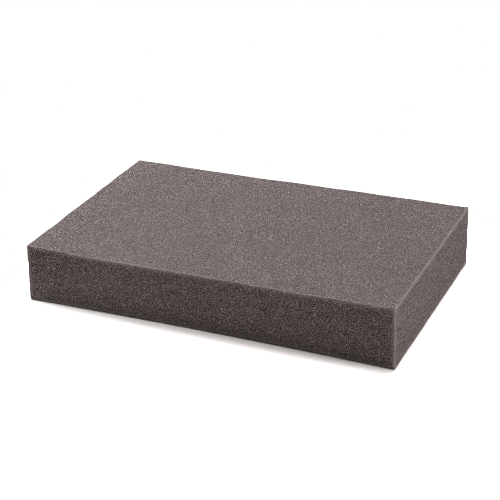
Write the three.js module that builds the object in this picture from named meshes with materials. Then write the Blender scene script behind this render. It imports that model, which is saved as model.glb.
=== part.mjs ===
// A slab of open-cell flexible polyurethane foam, the insert that cushions a wearer's back.
// It is cut with a blade from a thicker block, so all six faces are plane and nothing is glued
// or sewn to it. Millimetres; X along the length, Y across the width, Z up through the
// thickness; the origin is the middle of the underside.

import * as THREE from "three";

// Driving dimensions
const SLAB_LENGTH = 310;
const SLAB_WIDTH = 200;
const SLAB_THICKNESS = 50; // the sheet that the slab is cut from
const CORNER_RADIUS = 1.2; // upright corners: foam gives under the blade and leaves them a little blunt
const EDGE_EASE = 0.6; // rounding of the top and bottom edges, about one foam cell
const CORNER_STEPS = 5; // flats around a quarter turn of an upright corner
const EASE_STEPS = 3; // flats over a rounded edge

// Anthracite foam: warm dark grey, and dull, because light is lost between the open cells
const foam = new THREE.MeshStandardMaterial({ color: 0x796f6e, roughness: 0.95, metalness: 0 });

// The slab's plan: a rectangle about the origin with its four corners rounded.
function slabPlan(length, width, radius) {
  const x = length / 2;
  const y = width / 2;
  const plan = new THREE.Shape();
  plan.moveTo(-x + radius, -y);
  plan.lineTo(x - radius, -y);
  plan.absarc(x - radius, -y + radius, radius, -Math.PI / 2, 0);
  plan.lineTo(x, y - radius);
  plan.absarc(x - radius, y - radius, radius, 0, Math.PI / 2);
  plan.lineTo(-x + radius, y);
  plan.absarc(-x + radius, y - radius, radius, Math.PI / 2, Math.PI);
  plan.lineTo(-x, -y + radius);
  plan.absarc(-x + radius, -y + radius, radius, Math.PI, 1.5 * Math.PI);
  return plan;
}

// The plan raised to the slab's thickness. The easing is taken out of the stated sizes, so the
// slab still measures its full length, width and thickness over its flat faces.
function foamBlock() {
  const geometry = new THREE.ExtrudeGeometry(slabPlan(SLAB_LENGTH, SLAB_WIDTH, CORNER_RADIUS), {
    depth: SLAB_THICKNESS - 2 * EDGE_EASE,
    curveSegments: CORNER_STEPS,
    bevelEnabled: true,
    bevelThickness: EDGE_EASE,
    bevelSize: EDGE_EASE,
    bevelOffset: -EDGE_EASE,
    bevelSegments: EASE_STEPS,
  });
  const block = new THREE.Mesh(geometry, foam);
  block.name = "foam_block";
  block.position.z = EDGE_EASE; // the geometry starts one easing below its own zero
  return block;
}

const backProtector = new THREE.Group();
backProtector.add(foamBlock());

export default backProtector;
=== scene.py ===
# %% [markdown]
# # A foam back protector, cut from a block of open-cell foam
#
# The object is one slab of soft polyurethane foam. A back protector of this kind has no shell,
# strap or cover of its own: it is cut to size with a blade and then slipped into a pocket or
# glued to a panel. So there is a single piece to make, and all the work goes into its surface.
#
# The slab could be a plain cube with a bumpy material. Bump only changes shading, though: the
# outline would stay ruler-straight, and the exported mesh would be a bare box. Here the pores are
# real geometry. Every vertex of a fine grid over the six faces is pushed in by the foam cell that
# the blade cut open there, and the material then only adds what is finer than the grid.
#
# The first step loads the plain solid that the looks are built around. Everything is in metres.

# %% Load the frame
import math

import bpy
import numpy as np
from mathutils import Matrix, Vector


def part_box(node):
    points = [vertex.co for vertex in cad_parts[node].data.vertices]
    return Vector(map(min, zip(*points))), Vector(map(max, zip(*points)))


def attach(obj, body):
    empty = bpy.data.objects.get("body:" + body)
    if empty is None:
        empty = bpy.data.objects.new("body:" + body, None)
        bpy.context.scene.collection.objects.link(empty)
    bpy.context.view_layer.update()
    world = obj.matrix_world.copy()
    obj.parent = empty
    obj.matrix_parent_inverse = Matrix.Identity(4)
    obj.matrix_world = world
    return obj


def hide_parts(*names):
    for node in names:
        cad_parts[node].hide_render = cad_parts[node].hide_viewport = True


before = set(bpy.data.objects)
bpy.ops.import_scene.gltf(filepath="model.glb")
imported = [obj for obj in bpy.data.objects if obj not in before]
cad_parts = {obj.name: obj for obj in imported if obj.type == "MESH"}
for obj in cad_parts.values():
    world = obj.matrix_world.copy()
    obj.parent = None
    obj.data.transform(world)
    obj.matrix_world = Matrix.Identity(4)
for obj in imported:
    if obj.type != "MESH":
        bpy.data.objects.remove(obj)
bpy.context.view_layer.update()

MM = 0.001
block_low, block_high = (np.array(corner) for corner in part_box("foam_block"))
print("foam block, mm:", np.round((block_high - block_low) / MM, 2))

# %% [markdown]
# ## The camera
#
# Product cameras stand well back and use a long lens, which keeps the slab's far end nearly as
# tall as its near end. The camera's place is an orbit about the middle of the block: an azimuth
# to the right of the front, a height above the floor, and a distance in slab lengths. The aim is a
# little off the middle, and the camera leans by less than a degree.

# %% Camera
CAMERA_AZIMUTH = math.radians(23.22)  # to the right of straight in front
CAMERA_HEIGHT = math.radians(24.95)  # above the floor
CAMERA_LEAN = math.radians(-0.60)  # about the line of sight
CAMERA_DISTANCE = 3.928  # in slab lengths
CAMERA_AIM = (-0.0078, 0.0114)  # right and up from the block's middle, in slab lengths
LENS_MM = 105.8
SENSOR_MM = 36.0

slab_size = block_high - block_low
length = float(slab_size[0])
middle = Vector((block_low + block_high) / 2)
backwards = Vector((
    math.sin(CAMERA_AZIMUTH) * math.cos(CAMERA_HEIGHT),
    -math.cos(CAMERA_AZIMUTH) * math.cos(CAMERA_HEIGHT),
    math.sin(CAMERA_HEIGHT),
))
level = Vector((0, 0, 1)).cross(backwards).normalized()
upright = backwards.cross(level)
rightwards = level * math.cos(CAMERA_LEAN) + upright * math.sin(CAMERA_LEAN)
upwards = backwards.cross(rightwards)
aim = middle + length * (CAMERA_AIM[0] * rightwards + CAMERA_AIM[1] * upwards)

camera = bpy.data.objects.new("camera", bpy.data.cameras.new("camera"))
camera.data.lens = LENS_MM
camera.data.sensor_width = SENSOR_MM
camera.data.clip_end = 50
turned = Matrix((rightwards, upwards, backwards)).transposed().to_4x4()
camera.matrix_world = Matrix.Translation(aim + backwards * CAMERA_DISTANCE * length) @ turned
bpy.context.scene.collection.objects.link(camera)
bpy.context.scene.camera = camera
print("camera stands", round((camera.location - middle).length, 3), "m from the slab")

# %% [markdown]
# ## A grid wrapped round the block
#
# The mesh starts as a grid that covers all six faces and shares its points along the twelve edges,
# so it is closed from the start. Each axis gets a ladder of positions: even rungs over the flat
# part, and closer rungs near both ends, where the cut edge turns. A point of the shell is three
# ladder numbers, at least one of which is at an end of its ladder.

# %% Ladders of grid lines
GRID_STEP = 0.5 * MM  # half a foam cell, as drawn
EDGE_STEP = 0.25 * MM
EDGE_BAND = 1.5 * MM  # how far in from an edge the closer rungs go


def ladder(low, high):
    """Positions along one axis: EDGE_STEP apart within EDGE_BAND of an end, else GRID_STEP."""
    ends = np.linspace(0, EDGE_BAND, round(EDGE_BAND / EDGE_STEP) + 1)[:-1]
    flat = high - low - 2 * EDGE_BAND
    inner = np.linspace(low + EDGE_BAND, high - EDGE_BAND, round(flat / GRID_STEP) + 1)
    return np.concatenate([low + ends, inner, (high - ends)[::-1]])


ladders = [ladder(block_low[axis], block_high[axis]) for axis in range(3)]
rungs = np.array([len(rung) for rung in ladders])
print("grid lines along X, Y and Z:", rungs)

# %% [markdown]
# The shell is six grids. Neighbouring faces both list the points of the edge between them, and
# sorting the points' numbers gives each point once, however many faces use it. That is the numpy
# way of merging by distance, without any distance.


# %% The closed shell
def face_grid(axis, end):
    """One face's points as ladder numbers, and its quads: rows of four ladder-number triples.

    The two ladders that span the face are laid out as a grid, and the third number stays at the
    ladder's end. The quads turn anticlockwise seen from outside.
    """
    across, up = (axis + 1) % 3, (axis + 2) % 3
    i, j = np.meshgrid(np.arange(rungs[across]), np.arange(rungs[up]), indexing="ij")
    numbers = np.empty(i.shape + (3,), int)
    numbers[..., axis] = (rungs[axis] - 1) * end
    numbers[..., across] = i
    numbers[..., up] = j
    keys = (numbers[..., 0] * rungs[1] + numbers[..., 1]) * rungs[2] + numbers[..., 2]
    quads = np.stack([keys[:-1, :-1], keys[1:, :-1], keys[1:, 1:], keys[:-1, 1:]], -1)
    quads = quads.reshape(-1, 4)
    return quads if end else quads[:, ::-1]


face_quads = [face_grid(axis, end) for axis in range(3) for end in (0, 1)]
keys, corners = np.unique(np.concatenate(face_quads), return_inverse=True)
quads = corners.reshape(-1, 4)
numbers = np.stack([keys // (rungs[1] * rungs[2]), keys // rungs[2] % rungs[1], keys % rungs[2]], 1)
on_box = np.stack([ladders[axis][numbers[:, axis]] for axis in range(3)], 1)
print(len(on_box), "points and", 2 * len(quads), "triangles")

# %% [markdown]
# ## Blunt edges
#
# Foam gives under the blade and springs back, so its edges are crisp but not sharp. The box is
# rounded by the usual trick: pull each point back to an inner box that is smaller by the radius,
# then push it out by the radius along the line between the two. On a flat face that line is the
# face's normal, and near an edge it turns smoothly from one face's normal to the other's.

# %% Rounding
EDGE_RADIUS = 1.3 * MM

inner = np.clip(on_box, block_low + EDGE_RADIUS, block_high - EDGE_RADIUS)
outwards = on_box - inner
outwards /= np.linalg.norm(outwards, axis=1, keepdims=True)
surface = inner + EDGE_RADIUS * outwards

from_faces = np.minimum(on_box - block_low, block_high - on_box)
from_edge = np.sort(from_faces, axis=1)[:, 1]  # the nearest face is the point's own

# %% [markdown]
# ## What the saw leaves
#
# A slab is cut from a big soft block that gives under its own weight, so it is never a true box.
# This one is three millimetres thicker at its right end than at its left, its ends and its front
# are a degree or so out of square, and its left end, which was cut last, has sprung up a little.
# The saw also drifts as it crosses the block. All of this is a smooth move of the whole surface:
# straight lines for the taper and the lean, a bell curve for the sprung end, and sines far
# longer than a cell for the drift. The underside lies flat on the table, except that its front
# edge arches up by a millimetre in the middle, where the foot of the front also stands back a
# little, as if the blade had bent there.

# %% Taper, lean and drift
SAW_RISE = 0.33 * MM  # how much thicker than the drawing the slab is in its middle
TAPER_ALONG = 1.60 * MM  # and how much more at the right end, as much less at the left
TAPER_ACROSS = 0.48 * MM  # the same from the middle to the back
FOOT_OUT = {"left": 1.27 * MM, "right": 0.68 * MM, "front": -0.75 * MM}  # foot past the top
SPRING = 1.05 * MM  # how far the left end has sprung up
SPRING_REACH = 38 * MM
ARCH = 0.9 * MM  # how far the front edge lifts off the table in its middle
ARCH_REACH = 22 * MM
BOW = 2.4 * MM  # how far the front's foot stands back in its middle
DRIFT = 0.22 * MM
DRIFT_WAVES = ((92, 31, 0.4), (57, -48, 2.1), (140, 75, 4.0))  # mm in X, mm in Y, and start
SIDE_DRIFT = 0.5  # the blade drifts half as far on the four sides
SIDE_STRETCH = 3  # and its waves are this much shorter along the thickness


def drift(x, y):
    """Sum of sines: each wave's phase is x over its X length plus y over its Y length."""
    phases = [math.tau * (x / (a * MM) + y / (b * MM)) + start for a, b, start in DRIFT_WAVES]
    return DRIFT * sum(np.sin(phase) for phase in phases) / len(DRIFT_WAVES) ** 0.5


def smooth(t):
    """0 below 0, 1 above 1, and an S-shaped ramp between."""
    t = np.clip(t, 0, 1)
    return t * t * (3 - 2 * t)


x, y, z = surface.T
along, across = 2 * x / slab_size[0], 2 * y / slab_size[1]
height = (z - block_low[2]) / slab_size[2]
thicker = SAW_RISE + TAPER_ALONG * along + TAPER_ACROSS * across
sprung = SPRING * np.exp(-(((x - block_low[0]) / SPRING_REACH) ** 4))
arched = ARCH * (1 - along**2) * np.exp(-(((y - block_low[1]) / ARCH_REACH) ** 2))
out_x = np.where(x > 0, FOOT_OUT["right"], -FOOT_OUT["left"]) * np.abs(along)
out_y = np.where(y > 0, 0, BOW * (1 - along**2) - FOOT_OUT["front"]) * np.abs(across)
wander_x = SIDE_DRIFT * drift(SIDE_STRETCH * z, y)
wander_y = SIDE_DRIFT * drift(x, SIDE_STRETCH * z)
moved = np.stack([
    x + (1 - height) * out_x + wander_x * np.sign(x) * np.abs(outwards[:, 0]),
    y + (1 - height) * out_y + wander_y * np.sign(y) * np.abs(outwards[:, 1]),
    z + height * thicker + smooth(height) * (drift(x, y) + sprung) + (1 - height) * arched,
], 1)
furthest = float(np.abs(moved - surface).max())
print("the saw moves the surface by up to", round(furthest / MM, 2), "mm")
surface = moved

# %% [markdown]
# ## Cells cut open
#
# Open-cell foam is a froth whose bubbles burst into one another as it set. Where a blade crosses
# a bubble it leaves a bowl, and between bowls thin struts and ridges stand at the level of the
# cut. The froth is made as one bubble in each cube of a lattice, moved at random inside its cube.
#
# For a point of the surface, the bubble's centre lies some depth below the cut and some distance
# to the side. The floor of the bowl is then at that depth plus the half-chord of the sphere at
# that side distance. Each point tries the 27 cubes around it and keeps the deepest bowl.
#
# Real cells here are about 0.55 mm across, the width of a fine pencil lead. They are drawn nearly
# twice as wide, because a mesh of the whole slab could not hold finer ones.

# %% Froth
CELL = 1.0 * MM  # lattice pitch: the mean distance between bubbles
CELL_SHIFT = 0.92  # how much of its cube a bubble's centre may wander over
BUBBLE_RADIUS = (0.44, 0.66)  # least and most, in pitches
BOWL_LIMIT = 0.6 * MM  # deep bowls level off towards this depth
CLOSED_SHARE = 0.05  # bubbles that kept their skin
MARGIN = 2  # cubes beyond the box on every side
SEED = 7

rng = np.random.default_rng(SEED)
first_cube = np.floor(block_low / CELL).astype(int) - MARGIN
cubes = np.ceil(block_high / CELL).astype(int) + MARGIN - first_cube + 1
centres = rng.random((*cubes, 3), dtype=np.float32)
radii = rng.random(cubes, dtype=np.float32)
skins = rng.random(cubes, dtype=np.float32) < CLOSED_SHARE


def cut_bubbles(points, normals):
    """Depth of the deepest bowl at each point, and 1 where its bubble kept its skin.

    depth = s + sqrt(R^2 - r^2), where s is how far the bubble's centre lies under the point along
    the normal and r how far to the side, and it is 0 outside the bubble.
    """
    home = np.floor(points / CELL).astype(int) - first_cube
    depth = np.zeros(len(points), np.float32)
    skin = np.zeros(len(points), np.float32)
    for step in np.ndindex(3, 3, 3):
        cube = tuple((home + np.array(step) - 1).T)
        corner = np.stack(cube, 1) + first_cube
        centre = (corner + 0.5 + CELL_SHIFT * (centres[cube] - 0.5)) * CELL
        radius = CELL * (BUBBLE_RADIUS[0] + (BUBBLE_RADIUS[1] - BUBBLE_RADIUS[0]) * radii[cube])
        away = centre - points
        under = -(away * normals).sum(1)
        chord = radius**2 - ((away**2).sum(1) - under**2)
        inside = (away**2).sum(1) < radius**2
        bowl = np.where(inside, under + np.sqrt(np.maximum(chord, 0)), 0)
        deeper = bowl > depth
        depth = np.where(deeper, bowl, depth)
        skin = np.where(deeper, skins[cube], skin)
    return depth, skin


bowl, skin = cut_bubbles(surface, outwards)
print("cut open:", round(100 * float((bowl > 0).mean())), "% of the surface; mean depth",
      round(float(bowl.mean()) / MM, 2), "mm")

# %% [markdown]
# Two limits keep the mesh sound. Deep bowls level off, so no wall is steeper than the grid can
# follow. And close to an edge the bowls are shallower than the edge's radius, or the points on
# both sides would be pushed through each other.

# %% Carving
SKIN_SINK = 0.15  # how far a skin hangs in, as a share of its bowl
SHUFFLE = 0.28  # sideways shift of each point in grid steps, to hide the grid's straight lines
LIMIT_AT_EDGE = 0.45  # share of the limit that is left at an edge
LIMIT_REACH = 2.5 * EDGE_RADIUS  # how far from an edge the whole limit holds again

limit = BOWL_LIMIT * (LIMIT_AT_EDGE + (1 - LIMIT_AT_EDGE) * smooth(from_edge / LIMIT_REACH))
sunk = limit * np.tanh(bowl / limit)
sunk *= np.where(skin > 0, SKIN_SINK, 1)
shuffle = rng.uniform(-SHUFFLE, SHUFFLE, surface.shape) * EDGE_STEP
flat = from_edge > EDGE_BAND
shuffle[flat] *= GRID_STEP / EDGE_STEP
shuffle -= (shuffle * outwards).sum(1, keepdims=True) * outwards
places = surface + shuffle - sunk[:, None] * outwards
places[:, 2] = np.maximum(places[:, 2], block_low[2])
print("deepest pore", round(float(sunk.max()) / MM, 2), "mm")

# %% [markdown]
# ## The mesh
#
# foreach_set hands whole arrays to Blender, which takes a second where a Python loop over a
# million faces would take minutes. Three numbers per point go along as attributes for the
# material: how deep in a pore it is, for painted shade in deep pores and painted light on the
# ridges; how close it is to a cut edge, for a painted pale line; and whether it is on a side, for
# the sides' stronger painted light and shade in the grain.

# %% Build the piece
EDGE_GLOW = (2.4 * MM, 1.0 * MM)  # how far light gets in past an edge, on the sides and on top
END_SIDE = 0.3  # the two ends get less of the sides' stronger painted light and shade in the grain than the front and back do


def make_mesh(name, points, faces):
    """A mesh object from an array of points and one of four point numbers for each face."""
    mesh = bpy.data.meshes.new(name)
    mesh.vertices.add(len(points))
    mesh.vertices.foreach_set("co", points.astype(np.float32).ravel())
    mesh.loops.add(faces.size)
    mesh.loops.foreach_set("vertex_index", faces.astype(np.int32).ravel())
    mesh.polygons.add(len(faces))
    mesh.polygons.foreach_set("loop_start", np.arange(0, faces.size, 4, dtype=np.int32))
    mesh.update(calc_edges=True)
    mesh.validate()
    piece = bpy.data.objects.new(name, mesh)
    bpy.context.scene.collection.objects.link(piece)
    return piece


def add_attribute(piece, name, values):
    """One number for each point of the mesh, which a material reads by its name."""
    layer = piece.data.attributes.new(name, "FLOAT", "POINT")
    layer.data.foreach_set("value", values.astype(np.float32))


slab = make_mesh("foam_slab", places, quads)
slab.data.shade_smooth()
add_attribute(slab, "pore", sunk / BOWL_LIMIT)
upright = np.abs(outwards[:, 2])
reach = EDGE_GLOW[0] + (EDGE_GLOW[1] - EDGE_GLOW[0]) * upright
# The edge mask carries the painted pale line along the cut edges.
add_attribute(slab, "edge", np.exp(-((from_edge / reach) ** 2)))
add_attribute(slab, "side", np.abs(outwards[:, 1]) + END_SIDE * np.abs(outwards[:, 0]))
print("slab:", len(slab.data.vertices), "points,", len(slab.data.polygons), "quads")

# %% [markdown]
# ## A flat map of the six faces
#
# Where the slab goes to a game or a web page, its material is first painted into one square
# picture, and a UV map says where each point of the surface lies in that picture. Blender can
# unfold a mesh by itself, but it would cut this rough surface into thousands of scraps. A block
# unfolds simply: each face is laid down as its own rectangle, and all six have the same scale.

# %% Unfold the block
MAP_NAME = "OFBake"
MAP_GAP = 4 * MM  # between two rectangles

face_order = [(axis, end) for axis in range(3) for end in (0, 1)]
quads_in_face = [len(face) for face in face_quads]
long, wide, thick = slab_size + MAP_GAP
lower_corners = {
    (2, 0): (0, 0),  # the underside
    (2, 1): (wide, 0),  # the top
    (0, 0): (2 * wide, 0),  # the left end
    (0, 1): (2 * wide, wide),  # the right end
    (1, 0): (0, long),  # the front
    (1, 1): (0, long + thick),  # the back
}
map_side = max(2 * wide + thick, long + 2 * thick)


def unfold(faces):
    """Map places of all quads' corners, from 0 to 1 across the picture.

    A face of axis a runs along axes a - 1 and a + 1, so these two coordinates, counted from the
    face's corner, are its place on the flat. On the faces at the high ends the first is counted
    backwards, which keeps the picture from being mirrored.
    """
    axis, end = np.repeat(face_order, quads_in_face, axis=0).T
    places = np.repeat([lower_corners[face] for face in face_order], quads_in_face, axis=0)
    flat = np.empty(faces.shape + (2,))
    for k, along_map in enumerate(((axis - 1) % 3, (axis + 1) % 3)):
        points = np.take_along_axis(on_box[faces], along_map[:, None, None], 2)[..., 0]
        flat[..., k] = points - block_low[along_map][:, None]
    backwards_u = slab_size[(axis - 1) % 3][:, None] - flat[..., 0]
    flat[..., 0] = np.where(end[:, None] == 1, backwards_u, flat[..., 0])
    return (flat + places[:, None] + MAP_GAP / 2) / map_side


flat_map = slab.data.uv_layers.new(name=MAP_NAME)
flat_map.uv.foreach_set("vector", unfold(quads).astype(np.float32).ravel())
print("the map's picture covers", round(map_side / MM), "mm a side")

# %% [markdown]
# ## Anthracite polyurethane foam
#
# The foam is polyurethane, coloured with carbon black before it foams. It is dull, because light
# is scattered many times between the struts, and it is never one flat grey. The pores get painted
# shade, since little light leaves them, and the ridges at the level of the cut get painted light.
# A few cells get a painted highlight for the shine of a bubble's thin skin. Along a cut edge light
# enters from two sides, and the edge gets a painted pale line. The grain on the front and back is
# painted with stronger light and shade than on top, and the ends get less of it. On top of these
# come slow clouds of tone, from uneven density in the block.
#
# Two small helpers come first. One turns a colour from the hex form that designers use to the
# linear light that a renderer counts in, and one adds a node and links it in the same call.


# %% Material helpers
def linear(hex_colour):
    """sRGB hex to linear red, green, blue, alpha: the standard curve, channel by channel."""
    channels = [int(hex_colour[i : i + 2], 16) / 255 for i in (1, 3, 5)]
    return [c / 12.92 if c <= 0.04045 else ((c + 0.055) / 1.055) ** 2.4 for c in channels] + [1]


def add(tree, kind, settings=None, **inputs):
    """Adds a node. settings are its own properties; inputs are values, or sockets to link from."""
    node = tree.nodes.new(kind)
    for name, value in (settings or {}).items():
        setattr(node, name, value)
    for name, value in inputs.items():
        key = int(name[1:]) if name[0] == "_" and name[1:].isdigit() else name.replace("_", " ")
        if isinstance(value, bpy.types.NodeSocket):
            tree.links.new(value, node.inputs[key])
        else:
            node.inputs[key].default_value = value
    return node


def mix(tree, blend, factor, a, b):
    """A colour mix: blend is the Mix node's mode, and a and b are colours or sockets."""
    settings = {"data_type": "RGBA", "blend_type": blend, "clamp_factor": True}
    return add(tree, "ShaderNodeMix", settings, _0=factor, _6=a, _7=b).outputs[2]


def grey(tree, value, low, high, to_low, to_high):
    """Maps value from low..high to to_low..to_high, held at both ends."""
    settings = {"clamp": True}
    node = add(tree, "ShaderNodeMapRange", settings, Value=value, From_Min=low, From_Max=high,
               To_Min=to_low, To_Max=to_high)
    return node.outputs[0]


# %% [markdown]
# The grain comes from a Voronoi pattern, which fills space with cells as a froth does. Its
# distance to the nearest wall makes the struts, and its random colour gives each cell a tone of
# its own. It reads Object coordinates in metres, so a cell has its real size on every face and
# the pattern runs on round the edges, as it does in a solid block.


# %% The foam's material
FOAM_STRUT = "#534a49"  # struts at the level of the cut
FOAM_PORE_SHADE = "#131010"  # painted shade: the dark between the struts
FOAM_SKIN_HIGHLIGHT = "#716765"  # painted highlight: a bubble's skin, catching the light
FOAM_EDGE_LIGHT = "#6d6462"  # painted light: the pale line along a cut edge
FINE_CELL_MM = 0.55  # real cell size
STRUT_SHARE = 0.16  # half a strut's width, in cells
STRUT_FADE = 0.7  # how softly a strut ends, as a share of its half-width
# share of cells that get a painted highlight for a bubble's shiny skin
SKIN_GLINT_CHANCE = 0.02
CELL_TONES = ((0.7, 1.6), (0.45, 2.1))  # darkest and brightest cell, on top and on a side; the side's wider range is painted light and shade
BRIGHT_CELLS = 2.0  # power of the chance: higher makes bright cells rarer
PORE_SHADE_RIDGE_LIGHT = (1.2, 0.7)  # painted light at the level of the cut, and painted shade at the floor of a deep pore
CLOUD_MM = 55  # slow clouds of tone
CLOUD_TONES = (0.97, 1.03)
EDGE_LIGHT_SHARE = 0.6  # how much of the painted edge light a cut edge takes
ROUGHNESS = (0.95, 0.45)  # of the foam, and of a bubble's skin
BUMP_MM = 0.2  # how far a strut seems to stand out of its cell
BUMP_STRENGTH = 0.6
FOAM_SPECULAR = 0.25  # half of the usual level, since most gloss is lost between the struts


def foam_material():
    """Polyurethane foam, cut: rough, without metal, and with the plastic's IOR of 1.5."""
    material = bpy.data.materials.new("anthracite_polyurethane_foam")
    material.use_nodes = True
    tree = material.node_tree
    tree.nodes.clear()
    place = add(tree, "ShaderNodeTexCoord").outputs["Object"]
    pore, edge, side = (
        add(tree, "ShaderNodeAttribute", {"attribute_name": name}).outputs["Fac"]
        for name in ("pore", "edge", "side")
    )
    fine = 1 / (FINE_CELL_MM * MM)
    walls = add(tree, "ShaderNodeTexVoronoi", {"feature": "DISTANCE_TO_EDGE"}, Vector=place,
                Scale=fine).outputs["Distance"]
    cells = add(tree, "ShaderNodeTexVoronoi", {"feature": "F1"}, Vector=place, Scale=fine)
    chance = add(tree, "ShaderNodeSeparateColor", Color=cells.outputs["Color"])
    cloud = add(tree, "ShaderNodeTexNoise", Vector=place, Scale=1 / (CLOUD_MM * MM), Detail=2.0)

    strut_core, strut_foot = (STRUT_SHARE * (1 - STRUT_FADE), STRUT_SHARE * (1 + STRUT_FADE))
    open_cell = grey(tree, walls, strut_core, strut_foot, 0, 1)
    # Painted shade: the hollow of each cell, between the struts, takes the dark pore colour.
    colour = mix(tree, "MIX", open_cell, linear(FOAM_STRUT), linear(FOAM_PORE_SHADE))
    lit = add(tree, "ShaderNodeMath", {"operation": "POWER"}, _0=chance.outputs[0],
              _1=BRIGHT_CELLS).outputs[0]
    # Painted light and shade: the sides' cells spread wider in tone than the top's, for the grazing
    # light they get.
    on_top, on_side = (grey(tree, lit, 0, 1, *tones) for tones in CELL_TONES)
    colour = mix(tree, "MULTIPLY", 1.0, colour, mix(tree, "MIX", side, on_top, on_side))
    # Painted highlight: a few random cells take the pale skin colour, and their roughness drops
    # too.
    glint = grey(tree, chance.outputs[1], 1 - SKIN_GLINT_CHANCE, 1 - 0.9 * SKIN_GLINT_CHANCE, 0, 1)
    colour = mix(tree, "MIX", glint, colour, linear(FOAM_SKIN_HIGHLIGHT))
    # Painted light on the ridges and painted shade in the deep pores, from the pore depth.
    colour = mix(tree, "MULTIPLY", 1.0, colour, grey(tree, pore, 0, 1, *PORE_SHADE_RIDGE_LIGHT))
    clouds = grey(tree, cloud.outputs[0], 0.3, 0.7, *CLOUD_TONES)  # noise keeps to this range
    colour = mix(tree, "MULTIPLY", 1.0, colour, clouds)
    # Painted light: a pale line along each cut edge.
    colour = mix(tree, "MIX", grey(tree, edge, 0, 1, 0, EDGE_LIGHT_SHARE), colour, linear(FOAM_EDGE_LIGHT))
    rough = grey(tree, glint, 0, 1, *ROUGHNESS)
    bump = add(tree, "ShaderNodeBump", Strength=BUMP_STRENGTH, Distance=BUMP_MM * MM,
               Height=open_cell)
    bump.invert = True
    shader = add(tree, "ShaderNodeBsdfPrincipled", Base_Color=colour, Roughness=rough, IOR=1.5,
                 Normal=bump.outputs[0])
    shader.inputs["Specular IOR Level"].default_value = FOAM_SPECULAR
    add(tree, "ShaderNodeOutputMaterial", Surface=shader.outputs[0])
    return material


foam = foam_material()
slab.data.materials.append(foam)
print("the foam's material has", len(foam.node_tree.nodes), "nodes")

# %% [markdown]
# ## Floor and light
#
# The slab lies on a white table under one very large, soft light, and the table is lit so
# strongly that it reads as pure white right up to the slab's own narrow shadow. That light hangs
# a little behind the slab, so the front and the ends need help: two low softboxes stand to the
# left and the right, and the table throws light back at them too.
#
# Beyond the table there is only a white room. It is seen by the camera but lights nothing, so the
# softboxes alone decide the shading. The table ends a hand's width behind the slab, so the slab's
# far edges stand against the room, which is exactly white. Against the table, twice as bright, a
# spot half covered by foam would still be white, and the outline would turn into steps.

# %% Floor
TABLE_LOW = (-0.195, -1.0)  # its left and front edges, in metres
TABLE_HIGH = (1.0, 0.195)  # its right and back edges
FLOOR_WHITE = "#f1ecea"  # laminate, a trace warmer than the light
FLOOR_ROUGHNESS = 0.9

floor_mesh = bpy.data.meshes.new("floor")
(left, front), (right, back) = TABLE_LOW, TABLE_HIGH
ground = float(block_low[2])
floor_mesh.from_pydata([(left, front, ground), (right, front, ground), (right, back, ground),
                        (left, back, ground)], [], [(0, 1, 2, 3)])
floor = bpy.data.objects.new("floor", floor_mesh)
bpy.context.scene.collection.objects.link(floor)
laminate = bpy.data.materials.new("white_table_laminate")
laminate.use_nodes = True
finish = laminate.node_tree.nodes["Principled BSDF"]
finish.inputs["Base Color"].default_value = linear(FLOOR_WHITE)
finish.inputs["Roughness"].default_value = FLOOR_ROUGHNESS
floor_mesh.materials.append(laminate)
print("the table is", round(right - left, 3), "by", round(back - front, 3), "m, at height", ground)

# %% [markdown]
# A softbox is an area light: the larger it looks from the slab, the softer the shadow. Each is
# placed by the direction it shines from, so it can be moved further off, and made larger and
# stronger in step, without a change in the slab's shading. That is how the table stays evenly
# lit far out.


# %% Lights
def soft_light(name, azimuth, height, distance, size, watts):
    """A square area light that looks at the slab from an azimuth (0 is in front) and a height."""
    azimuth, height = math.radians(azimuth), math.radians(height)
    away = Vector((math.sin(azimuth) * math.cos(height), -math.cos(azimuth) * math.cos(height),
                   math.sin(height)))
    light = bpy.data.objects.new(name, bpy.data.lights.new(name, "AREA"))
    light.data.size = size
    light.data.energy = watts
    light.location = middle + away * distance
    light.rotation_euler = away.to_track_quat("Z", "Y").to_euler()
    bpy.context.scene.collection.objects.link(light)
    return light


soft_light("overhead_softbox", azimuth=192, height=73, distance=3.2, size=2.0, watts=264)
soft_light("right_softbox", azimuth=90, height=14, distance=3.0, size=1.2, watts=99)
soft_light("left_softbox", azimuth=-84, height=15, distance=0.9, size=0.5, watts=24)
lamps = [thing.name for thing in bpy.context.scene.objects if thing.type == "LIGHT"]
print("lights:", lamps)

# %% [markdown]
# The room is plain white. The lens is a sharp one: each cell of its sensor sees little of its
# neighbours. The noise filter is guided by the surface's own grain as it was sampled, or it would
# iron the foam flat.

# %% Room and lens
LENS_SPREAD = 0.8  # how wide a sensor cell sees, in cells

world = bpy.data.worlds.new("white_room")
world.use_nodes = True
room = world.node_tree.nodes["Background"]
room.inputs["Color"].default_value = (1, 1, 1, 1)
room.inputs["Strength"].default_value = 1.0
world.cycles_visibility.diffuse = False
world.cycles_visibility.glossy = False
bpy.context.scene.world = world
bpy.context.scene.view_settings.view_transform = "Standard"
bpy.context.scene.cycles.filter_width = LENS_SPREAD
bpy.context.scene.cycles.denoising_prefilter = "NONE"
print("world:", world.name, "with a lens spread of", LENS_SPREAD)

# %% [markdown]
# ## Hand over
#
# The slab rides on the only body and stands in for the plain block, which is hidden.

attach(slab, "root")
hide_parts("foam_block")
